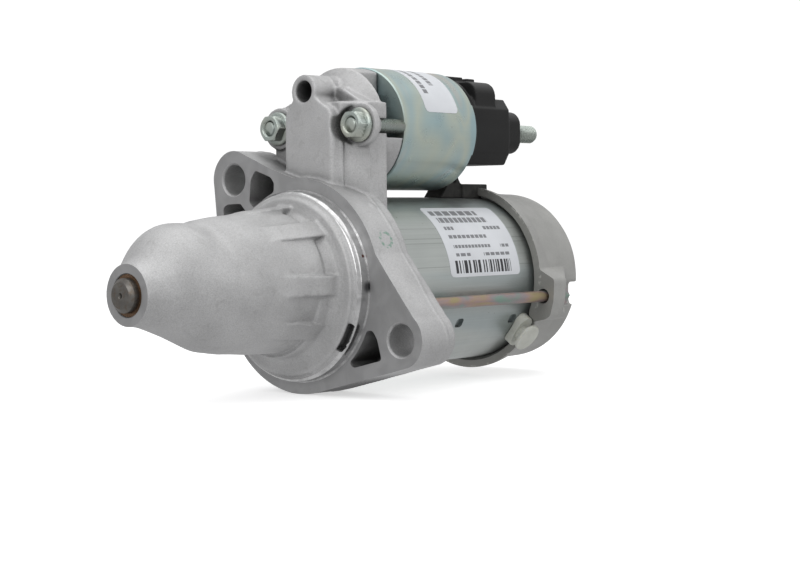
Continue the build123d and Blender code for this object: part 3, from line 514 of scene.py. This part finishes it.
def turned(name, outline, y=0.0, z=0.0, steps=192):
    """Closed ring or disc turned about the line along X through (y, z), from its (x, radius)
    outline. All lengths are in millimetres."""
    def build(shape):
        hoops = []
        for x, radius in outline:
            turns = [tau * i / steps for i in range(steps)] if radius else [0.0]
            hoops.append([shape.verts.new((x * MM, (y + radius * cos(a)) * MM, (z + radius * sin(a)) * MM))
                          for a in turns])
        closed = all(radius for _, radius in outline)
        pairs = list(zip(hoops, hoops[1:] + hoops[:1])) if closed else list(zip(hoops, hoops[1:]))
        for one, two in pairs:
            for i in range(steps):
                j = (i + 1) % steps
                if len(one) == 1:
                    shape.faces.new((one[0], two[j], two[i]))
                elif len(two) == 1:
                    shape.faces.new((one[i], one[j], two[0]))
                else:
                    shape.faces.new((one[i], one[j], two[j], two[i]))
    return mesh_of(name, build)


def combined(piece, other, operation):
    """Joins another closed piece to this one, or cuts it out."""
    modifier = piece.modifiers.new(operation.lower(), "BOOLEAN")
    modifier.operation = operation
    modifier.solver = "MANIFOLD"
    modifier.object = other
    settle(piece)
    bpy.data.objects.remove(other)
    return piece


def softened(piece, voxel, rounds):
    """Rounds every edge and fills every corner a little, as casting and moulding do."""
    remesh = piece.modifiers.new("remesh", "REMESH")
    remesh.mode = "VOXEL"
    remesh.voxel_size = voxel * MM
    smooth = piece.modifiers.new("smooth", "SMOOTH")
    smooth.factor = 0.5
    smooth.iterations = rounds
    return settle(piece)


def displaced(piece, height):
    """Moves each vertex along its normal by height(point in millimetres, normal)."""
    mesh = piece.data
    shifts = [(v.co + v.normal * (height(v.co / MM, v.normal) * MM)) for v in mesh.vertices]
    mesh.vertices.foreach_set("co", [c for point in shifts for c in point])
    mesh.update()
    return piece


def pushed(piece, x, shift):
    """Moves the flat face that stands at x along X, so that it can be cut back crisply later."""
    for vertex in piece.data.vertices:
        if abs(vertex.co.x / MM - x) < 0.01:
            vertex.co.x += shift * MM
    return piece


def bevelled(piece, width, segments=2, angle=35):
    """Merges flat neighbours, then rounds the sharp edges."""
    shape = bmesh.new()
    shape.from_mesh(piece.data)
    bmesh.ops.dissolve_limit(shape, angle_limit=radians(0.5), verts=shape.verts, edges=shape.edges)
    shape.to_mesh(piece.data)
    shape.free()
    bevel = piece.modifiers.new("bevel", "BEVEL")
    bevel.width = width * MM
    bevel.segments = segments
    bevel.limit_method = "ANGLE"
    bevel.angle_limit = radians(angle)
    bevel.harden_normals = True
    return settle(piece)


def smooth_shaded(piece, angle=None):
    """Smooth shading, broken at edges sharper than the angle in degrees."""
    piece.data.shade_smooth()
    if angle is not None:
        piece.data.set_sharp_from_angle(angle=radians(angle))
    return piece


def stand_for(piece, node, material=None):
    """The piece is shown in place of a CAD node and moves with its body."""
    dress(piece, MATERIALS[SLOT_OF[node]] if material is None else material)
    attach(piece, BODY_OF[node])
    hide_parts(node)
    return piece


def mount(name):
    """Place in millimetres and sizes of one of the record's mounts."""
    found = next(m for m in frame["record"]["mounts"] if m["name"] == name)
    return Vector(found["pos_m"]) / MM, found["dims"]


# ---------------------------------------------------------------- castings
PILOT_R = mount("pilot")[1]["r_mm"]
FLANGE_T = 20.0
PUSH = 1.5                 # how far machined faces stand proud before they are cut back
GATE_PLACE = Vector((12.5, -26.5, 29.0))


def waviness(point, coarse, fine):
    """Uneven surface of a sand-blasted die casting."""
    return coarse * noise.noise(point / 9) + fine * noise.noise(point / 1.3)


def parting_height(point, normal):
    """Flash line of the die round the flange's side and up the neck."""
    if abs(normal.x) > 0.5 or hypot(point.y, point.z) < 42 or not 2 < point.x < 26:
        return 0.0
    line = 15.4 + 0.8 * sin(point.z / 6)
    return 0.28 * exp(-((point.x - line) / 0.55) ** 2)


def gate_height(point):
    """Low raised patch where the casting's gate was broken off."""
    return 0.5 * smooth_step((4.6 - (point - GATE_PLACE).length) / 0.9)


def smooth_step(t):
    t = min(1.0, max(0.0, t))
    return t * t * (3 - 2 * t)


def housing_casting():
    """Nose, flange and lever tower in one casting, with the faces that a lathe has cut."""
    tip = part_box("drive_housing")[0].x / MM
    piece = welded_copy("drive_housing", "housing_casting")
    pushed(piece, 0.0, -PUSH)
    pushed(piece, tip, -PUSH)
    softened(piece, 0.55, 4)

    def relief(point, normal):
        radius = hypot(point.y, point.z)
        if -6 < point.x < 0 and 35 < radius < 39:
            return 0.0
        return waviness(point, 0.13, 0.04) + parting_height(point, normal) + gate_height(point)
    displaced(piece, relief)
    face = [(-9, PILOT_R), (0, PILOT_R), (0, 120), (-9, 120)]
    combined(piece, turned("face_cut", face), "DIFFERENCE")
    nose_face = [(tip - 5, 0), (tip - 5, 30), (tip, 30), (tip, 0)]
    combined(piece, turned("nose_cut", nose_face), "DIFFERENCE")
    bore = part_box("nose_bushing")[1].z / MM
    lip = [(tip - 1, 0), (tip - 1, bore + 1.2), (tip + 0.35, bore), (tip + 10, bore), (tip + 10, 0)]
    combined(piece, turned("bore_cut", lip), "DIFFERENCE")
    for name in ("mounting_hole_1", "mounting_hole_2"):
        place, size = mount(name)
        radius = size["r_mm"]
        hole = [(-1, 0), (-1, radius + 1.8), (0.8, radius), (FLANGE_T + 2, radius), (FLANGE_T + 2, 0)]
        combined(piece, turned("hole_cut", hole, place.y, place.z), "DIFFERENCE")
    place, size = mount("top_boss_hole")
    boss = [(2, 0), (2, size["r_mm"]), (17, size["r_mm"]), (18.5, 0)]
    combined(piece, turned("boss_cut", boss, place.y, place.z), "DIFFERENCE")
    smooth_shaded(piece, 40)
    return stand_for(piece, "drive_housing")


def cover_casting():
    """Rear cover with its turned front rim and the low step that follows the rim down to the lug."""
    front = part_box("rear_cover")[0].x / MM
    piece = welded_copy("rear_cover", "cover_casting")
    pushed(piece, front, -PUSH)
    softened(piece, 0.45, 9)

    def relief(point, normal):
        radius = hypot(point.y, point.z)
        height = waviness(point, 0.08, 0.02)
        if radius > 37 and abs(normal.x) < 0.7:
            turn = abs(atan2(point.z, abs(point.y)))
            line = 117.4 - 5.2 * turn
            height += 0.35 * smooth_step((line - point.x) / 0.7 + 0.5)
        return height
    displaced(piece, relief)
    rim = [(front - 5, 30), (front, 30), (front, 70), (front - 5, 70)]
    combined(piece, turned("rim_cut", rim), "DIFFERENCE")
    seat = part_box("yoke_tube")[1].z / MM + 0.05
    bore = [(front - 3, 25), (front - 3, seat), (front + 4, seat), (front + 4, 25)]
    combined(piece, turned("seat_cut", bore), "DIFFERENCE")
    smooth_shaded(piece, 40)
    return stand_for(piece, "rear_cover")


def moulding(node, name, voxel, rounds):
    """Moulded piece: the CAD shape with small radii on all its edges."""
    piece = welded_copy(node, name)
    softened(piece, voxel * (1.0), rounds)
    smooth_shaded(piece)
    return stand_for(piece, node)


# ---------------------------------------------------------------- fasteners
M6_PITCH, M8_PITCH = 1.0, 1.25


def thread(name, x0, x1, radius, pitch, y, z, turns_in=60):
    """Closed threaded rod from x0 to its chamfered tip at x1. Lengths are in millimetres."""
    depth = 0.61 * pitch
    way = 1 if x1 > x0 else -1
    length = abs(x1 - x0)
    rows = int(length / pitch * 12)

    def height(distance, turn):
        """Radius of the flank at a distance from x0: a 60 degree vee with small flats."""
        phase = (distance / pitch - turn / tau) % 1.0
        vee = min(1.0, max(0.0, abs(2 * phase - 1) * 1.22 - 0.10))
        return min(radius - depth * vee, radius - 0.72 * depth + 1.1 * (length - distance))

    def build(shape):
        hoops = []
        for row in range(rows + 1):
            distance = length * row / rows
            hoop = []
            for i in range(turns_in):
                turn = tau * i / turns_in
                r = height(distance, turn)
                hoop.append(shape.verts.new(((x0 + way * distance) * MM, (y + r * cos(turn)) * MM,
                                             (z + r * sin(turn)) * MM)))
            hoops.append(hoop)
        for one, two in zip(hoops, hoops[1:]):
            for i in range(turns_in):
                j = (i + 1) % turns_in
                shape.faces.new((one[i], one[j], two[j], two[i]))
        for hoop, x in ((hoops[0], x0), (hoops[-1], x1 + way * 0.25)):
            middle = shape.verts.new((x * MM, y * MM, z * MM))
            for i in range(turns_in):
                shape.faces.new((hoop[i], hoop[(i + 1) % turns_in], middle))
    return mesh_of(name, build)


def cut_short(piece, x, keep_above):
    """Cuts the piece at x and closes the cut."""
    shape = bmesh.new()
    shape.from_mesh(piece.data)
    geometry = shape.verts[:] + shape.edges[:] + shape.faces[:]
    cut = bmesh.ops.bisect_plane(shape, geom=geometry, plane_co=(x * MM, 0, 0), plane_no=(1, 0, 0),
                                 clear_inner=keep_above, clear_outer=not keep_above)
    edges = [e for e in cut["geom_cut"] if isinstance(e, bmesh.types.BMEdge)]
    bmesh.ops.holes_fill(shape, edges=edges)
    shape.to_mesh(piece.data)
    shape.free()
    return piece


def joined(name, pieces):
    """One object made of several meshes."""
    def build(shape):
        for piece in pieces:
            shape.from_mesh(piece.data)
    made = mesh_of(name, build)
    for piece in pieces:
        bpy.data.objects.remove(piece)
    return made


def battery_stud():
    place, size = mount("battery_stud")
    radius, length = size["r_mm"], size["length_mm"]
    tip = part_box("battery_terminal")[1].x / MM
    shoulder = tip - length - 1.0
    body = cut_short(welded_copy("battery_terminal", "stud_body"), shoulder, False)
    screw = thread("stud_thread", shoulder - 0.2, tip - 0.25, radius, M8_PITCH, place.y, place.z)
    piece = joined("battery_stud", [body, screw])
    smooth_shaded(piece, 55)
    return stand_for(piece, "battery_terminal")


def solenoid_studs():
    """Two M6 studs: threaded in their nuts, plain where the window shows them."""
    low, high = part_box("solenoid_studs")
    split = low.x / MM + 3.0
    body = cut_short(welded_copy("solenoid_studs", "stud_shanks"), split, True)
    spread = (high.y - low.y) / 2 / MM
    radius = (high.z - low.z) / 2 / MM
    height = (high.z + low.z) / 2 / MM
    parts = [body]
    for y in (-spread + radius, spread - radius):
        parts.append(thread("tip_thread", split + 0.2, low.x / MM + 0.25, radius, M6_PITCH, y, height, 48))
    piece = joined("solenoid_stud_pair", parts)
    smooth_shaded(piece, 55)
    return stand_for(piece, "solenoid_studs")


def fastener(node, name, width, segments=2):
    piece = bevelled(welded_copy(node, name), width, segments)
    smooth_shaded(piece, 30)
    return stand_for(piece, node)


# ---------------------------------------------------------------- labels
LABEL_RADII = {"yoke_label": 35.73, "solenoid_label": 25.4}
LABEL_THICK = 0.12


def wrapped_label(node, name, centre_z, first, last, material, corner=2.2):
    """Paper label with round corners, bent about the line along X at height centre_z.
    Its angles run from +Y towards +Z, in degrees."""
    low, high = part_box(node)
    x0, x1 = low.x / MM, high.x / MM
    radius = LABEL_RADII[node]
    rows, columns = 120, 24
    span = radians(last - first) * radius

    def inset(v):
        """How far the side edges draw in at v millimetres from the first edge."""
        near = min(v, span - v)
        if near >= corner:
            return 0.0
        return corner - sqrt(max(0.0, corner ** 2 - (corner - near) ** 2))

    def build(shape):
        sheets = []
        for r in (radius, radius + LABEL_THICK):
            grid = []
            for i in range(rows + 1):
                # Rows crowd towards both ends, where the corners curve.
                v = span * (0.5 - 0.5 * cos(pi * i / rows))
                angle = radians(first) + v / radius
                a, b = x0 + inset(v), x1 - inset(v)
                grid.append([shape.verts.new(((a + (b - a) * j / columns) * MM, r * cos(angle) * MM,
                                              (centre_z + r * sin(angle)) * MM))
                             for j in range(columns + 1)])
            sheets.append(grid)
        under, over = sheets
        for grid in sheets:
            for one, two in zip(grid, grid[1:]):
                for j in range(columns):
                    shape.faces.new((one[j], one[j + 1], two[j + 1], two[j]))
        for i in range(rows):
            for j in (0, columns):
                shape.faces.new((under[i][j], under[i + 1][j], over[i + 1][j], over[i][j]))
        for i in (0, rows):
            for j in range(columns):
                shape.faces.new((under[i][j], under[i][j + 1], over[i][j + 1], over[i][j]))
    piece = mesh_of(name, build)
    smooth_shaded(piece, 40)
    return stand_for(piece, node, material)


def rating_label():
    """Sticker on the motor tube: six lines of dashes above a block of bars."""
    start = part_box("yoke_label")[0].x / MM
    rows = [(27.8, 29.6, 3, 34, 5.0), (24.8, 26.9, 4.5, 37, 3.1), (21.8, 23.2, 5, 11, 2.4),
            (21.8, 23.2, 31, 43, 2.4), (18.3, 19.7, 5, 30, 2.9), (14.3, 15.6, 5.5, 30, 2.2),
            (14.3, 15.6, 37, 43, 2.6), (10.9, 12.2, 5.5, 15, 4.1), (10.9, 12.2, 24, 42, 3.4)]
    rows = [(low, high, start + first, start + last, dash) for low, high, first, last, dash in rows]
    bars = (3.9, 9.2, start + 3.5, start + 41)
    print_on = printed_label("rating_print", ("z", "x", rows), bars)
    wrapped_label("yoke_label", "rating_label", 0.0, 120.1, 176.2, print_on)


def switch_label():
    """Sticker bent over the top of the solenoid, with two rows of dashes."""
    rows = [(54.0, 56.8, 25, 146, 6.1), (61.0, 63.8, 25, 134, 5.3)]
    print_on = printed_label("switch_print", ("x", "turn", rows), None)
    wrapped_label("solenoid_label", "switch_label", SOLENOID_Z, 15, 165, print_on)


# ---------------------------------------------------------------- springs
def squashed_spring(node, name):
    """Spring shown in place of its CAD node, moving with its body, with a mesh of its own."""
    piece = welded_copy(node, name)
    smooth_shaded(piece)
    stand_for(piece, node)
    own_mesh(piece)
    return piece


# ---------------------------------------------------------------- assembly
housing_casting()
cover_casting()
moulding("terminal_cap", "cap_moulding", 0.42, 7)
moulding("lead_grommet", "grommet_moulding", 0.35, 2)
moulding("drain_plug", "plug_moulding", 0.25, 2)
battery_stud()
solenoid_studs()
fastener("solenoid_nuts", "flange_nuts", 0.3)
fastener("cover_screws", "cross_screws", 0.15)
fastener("drive_shaft", "output_shaft", 0.12)
rating_label()
switch_label()
squashed_spring("plunger_spring", "return_spring")
squashed_spring("contact_spring", "contact_return_spring")


# ---------------------------------------------------------------- studio
def area_light(name, place, aim, size, power, tint=(1, 1, 1)):
    lamp = bpy.data.lights.new(name, "AREA")
    lamp.shape = "RECTANGLE"
    lamp.size, lamp.size_y = size
    lamp.energy = power
    lamp.color = tint
    obj = link(name, lamp)
    obj.location = place
    obj.rotation_mode = "QUATERNION"
    obj.rotation_quaternion = (Vector(aim) - Vector(place)).to_track_quat("-Z", "Y")
    return obj


def studio():
    low, high = CAD_BOX
    middle = (low + high) / 2
    mesh = bpy.data.meshes.new("floor")
    reach = 30.0
    corners = [(-reach, -reach), (reach, -reach), (reach, reach), (-reach, reach)]
    mesh.from_pydata([(x, y, low.z) for x, y in corners], [], [(0, 1, 2, 3)])
    floor = link("floor", mesh)
    p = Paint("floor_white", 0.0, 0.8)
    p.set(Base_Color=p.ramp(p.noise(60, 2.0), (0.3, grey(0.86)), (0.7, grey(0.88))))
    p.surface.inputs["Emission Color"].default_value = (1, 1, 1, 1)
    p.surface.inputs["Emission Strength"].default_value = 0.55
    dress(floor, p.material)
    floor.visible_diffuse = False
    floor.visible_glossy = False

    world = bpy.data.worlds.new("studio")
    bpy.context.scene.world = world
    world.use_nodes = True
    tree = world.node_tree
    out = tree.nodes["World Output"]
    lit = tree.nodes["Background"]
    seen = tree.nodes.new("ShaderNodeBackground")
    seen.inputs["Color"].default_value = (1, 1, 1, 1)
    seen.inputs["Strength"].default_value = 1.05
    place = tree.nodes.new("ShaderNodeTexCoord")
    split = tree.nodes.new("ShaderNodeSeparateXYZ")
    tree.links.new(place.outputs["Generated"], split.inputs[0])
    shift = tree.nodes.new("ShaderNodeMath")
    shift.operation = "MULTIPLY_ADD"
    shift.inputs[1].default_value = 0.5
    shift.inputs[2].default_value = 0.5
    tree.links.new(split.outputs[2], shift.inputs[0])
    sky = tree.nodes.new("ShaderNodeValToRGB")
    stops = ((0.0, 0.60), (0.42, 0.52), (0.56, 0.52), (1.0, 0.70))
    while len(sky.color_ramp.elements) < len(stops):
        sky.color_ramp.elements.new(0.5)
    for element, (at, level) in zip(sky.color_ramp.elements, stops):
        element.position = at
        element.color = (level, level, level * 1.01, 1)
    tree.links.new(shift.outputs[0], sky.inputs[0])
    tree.links.new(sky.outputs[0], lit.inputs["Color"])
    lit.inputs["Strength"].default_value = 1.02
    choose = tree.nodes.new("ShaderNodeMixShader")
    rays = tree.nodes.new("ShaderNodeLightPath")
    tree.links.new(rays.outputs["Is Camera Ray"], choose.inputs[0])
    tree.links.new(lit.outputs[0], choose.inputs[1])
    tree.links.new(seen.outputs[0], choose.inputs[2])
    tree.links.new(choose.outputs[0], out.inputs["Surface"])

    area_light("overhead", (0.05, -0.05, 0.75), middle, (0.9, 0.9), 2.4)
    area_light("left_front", (-0.75, -0.25, 0.45), middle, (0.6, 0.6), 2.0)
    area_light("right_front", (0.35, -0.8, 0.30), middle, (0.5, 0.8), 1.0)


CAMERA_PLACE = (-0.4852, -0.4750, 0.0295)
CAMERA_ANGLES = (-49.04, 2.32, -0.43)  # azimuth, elevation and roll in degrees
CAMERA_LENS = 76.2                     # millimetres, on a 36 mm wide sensor


def camera():
    """A long lens that looks at the nose and the solenoid's side from a little above the shaft."""
    azimuth, elevation, roll = (radians(angle) for angle in CAMERA_ANGLES)
    back = Vector((sin(azimuth) * cos(elevation), -cos(azimuth) * cos(elevation), sin(elevation)))
    side = (-back).cross(Vector((0, 0, 1))).normalized()
    up = side.cross(-back)
    tilted_side = cos(roll) * side + sin(roll) * up
    tilted_up = -sin(roll) * side + cos(roll) * up
    data = bpy.data.cameras.new("camera")
    data.lens = CAMERA_LENS
    data.sensor_width = 36.0
    data.clip_start, data.clip_end = 0.05, 100
    obj = link("camera", data)
    turn = Matrix((tilted_side, tilted_up, back)).transposed().to_4x4()
    obj.matrix_world = Matrix.Translation(CAMERA_PLACE) @ turn
    bpy.context.scene.camera = obj


studio()
camera()
bpy.context.scene.view_settings.view_transform = "Standard"
